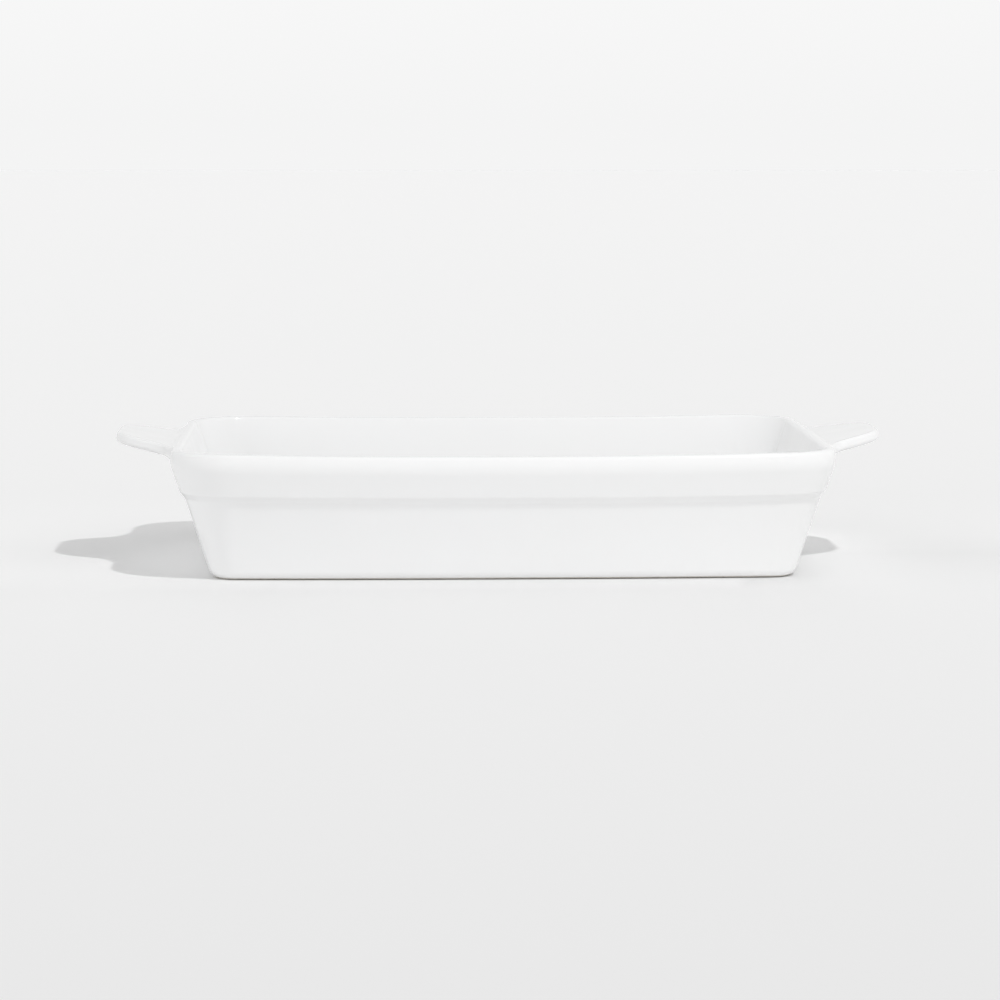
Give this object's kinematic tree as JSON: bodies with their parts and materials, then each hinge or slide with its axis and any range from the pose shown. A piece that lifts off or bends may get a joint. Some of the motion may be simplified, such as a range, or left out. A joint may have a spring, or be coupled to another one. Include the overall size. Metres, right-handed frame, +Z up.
{
  "type": "lasagna dish",
  "caption": "Rectangular deep baking dish of white glazed stoneware with a stepped collar under the rim and wide lug handles at the ends.",
  "frame": {"origin": "on the table, under the middle of the dish", "axes": "+X along the long side towards the right handle, +Y towards the back side, +Z up"},
  "size_m": [0.419, 0.2446, 0.072],
  "materials": {
    "white_glaze": "gloss",
    "fired_clay": "matte"
  },
  "bodies": {
    "root": {"dish_body": "white_glaze", "left_handle": "white_glaze", "right_handle": "white_glaze"}
  },
  "joints": []
}
